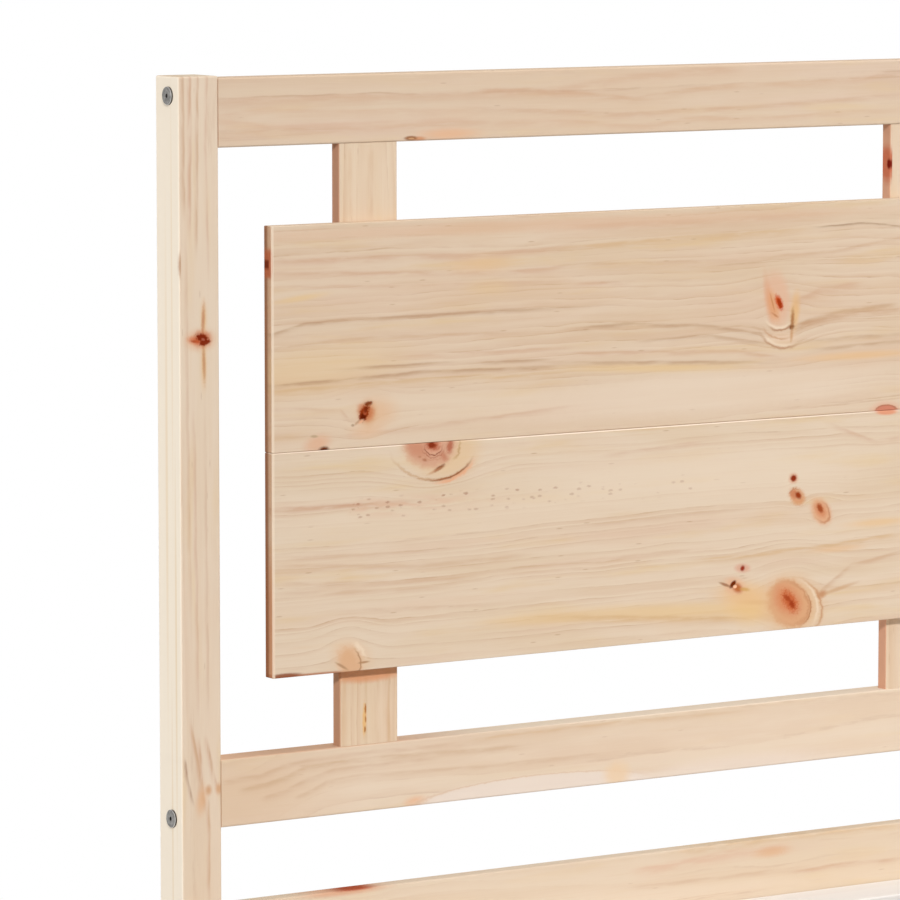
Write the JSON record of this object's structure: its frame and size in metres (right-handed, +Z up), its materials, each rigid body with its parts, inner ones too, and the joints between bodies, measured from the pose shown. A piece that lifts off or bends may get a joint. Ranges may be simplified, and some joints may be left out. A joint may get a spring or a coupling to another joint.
{
  "type": "bed frame",
  "caption": "Solid pine plank bed: square posts, ladder headboard with a broad board panel on flat uprights, low side and foot rails, slats and a centre beam on legs.",
  "frame": {"origin": "on the floor, under the middle of the bed's bounding box", "axes": "+X across the bed, from left to right as seen from the foot; +Y along it, from the foot to the headboard; +Z up"},
  "size_m": [1.8594, 2.1014, 1.1],
  "materials": {
    "pine": "planed, bare or clear oiled",
    "bolt_steel": "zinc plated",
    "plate_steel": "zinc plated sheet",
    "beech": "plain turned"
  },
  "bodies": {
    "root": {"head_post_left": "pine", "head_post_right": "pine", "foot_post_left": "pine", "foot_post_right": "pine", "head_top_rail": "pine", "head_middle_rail": "pine", "head_lower_rail": "pine", "foot_rail": "pine", "head_upright_left": "pine", "head_upright_centre": "pine", "head_upright_right": "pine", "head_board_upper": "pine", "head_board_lower": "pine", "side_rail_left": "pine", "side_rail_right": "pine", "slat_ledge_left": "pine", "slat_ledge_right": "pine", "centre_beam": "pine", "centre_leg_head": "pine", "centre_leg_foot": "pine", "slat_01": "pine", "slat_02": "pine", "slat_03": "pine", "slat_04": "pine", "slat_05": "pine", "slat_06": "pine", "slat_07": "pine", "slat_08": "pine", "slat_09": "pine", "slat_10": "pine", "slat_11": "pine", "slat_12": "pine", "slat_13": "pine", "slat_14": "pine", "slat_15": "pine", "head_rail_bolts": "bolt_steel", "head_rail_barrel_nuts": "bolt_steel", "foot_rail_bolts": "bolt_steel", "foot_rail_barrel_nuts": "bolt_steel", "side_rail_bolts": "bolt_steel", "side_rail_barrel_nuts": "bolt_steel", "leg_bolts": "bolt_steel", "leg_sleeve_nuts": "bolt_steel", "head_board_screws": "bolt_steel", "hanger_screws": "bolt_steel", "slat_screws": "bolt_steel", "ledge_screws": "bolt_steel", "beam_hanger_head": "plate_steel", "beam_hanger_foot": "plate_steel", "head_rail_dowels": "beech", "foot_rail_dowels": "beech", "side_rail_dowels": "beech", "upright_pegs": "beech"}
  },
  "joints": []
}
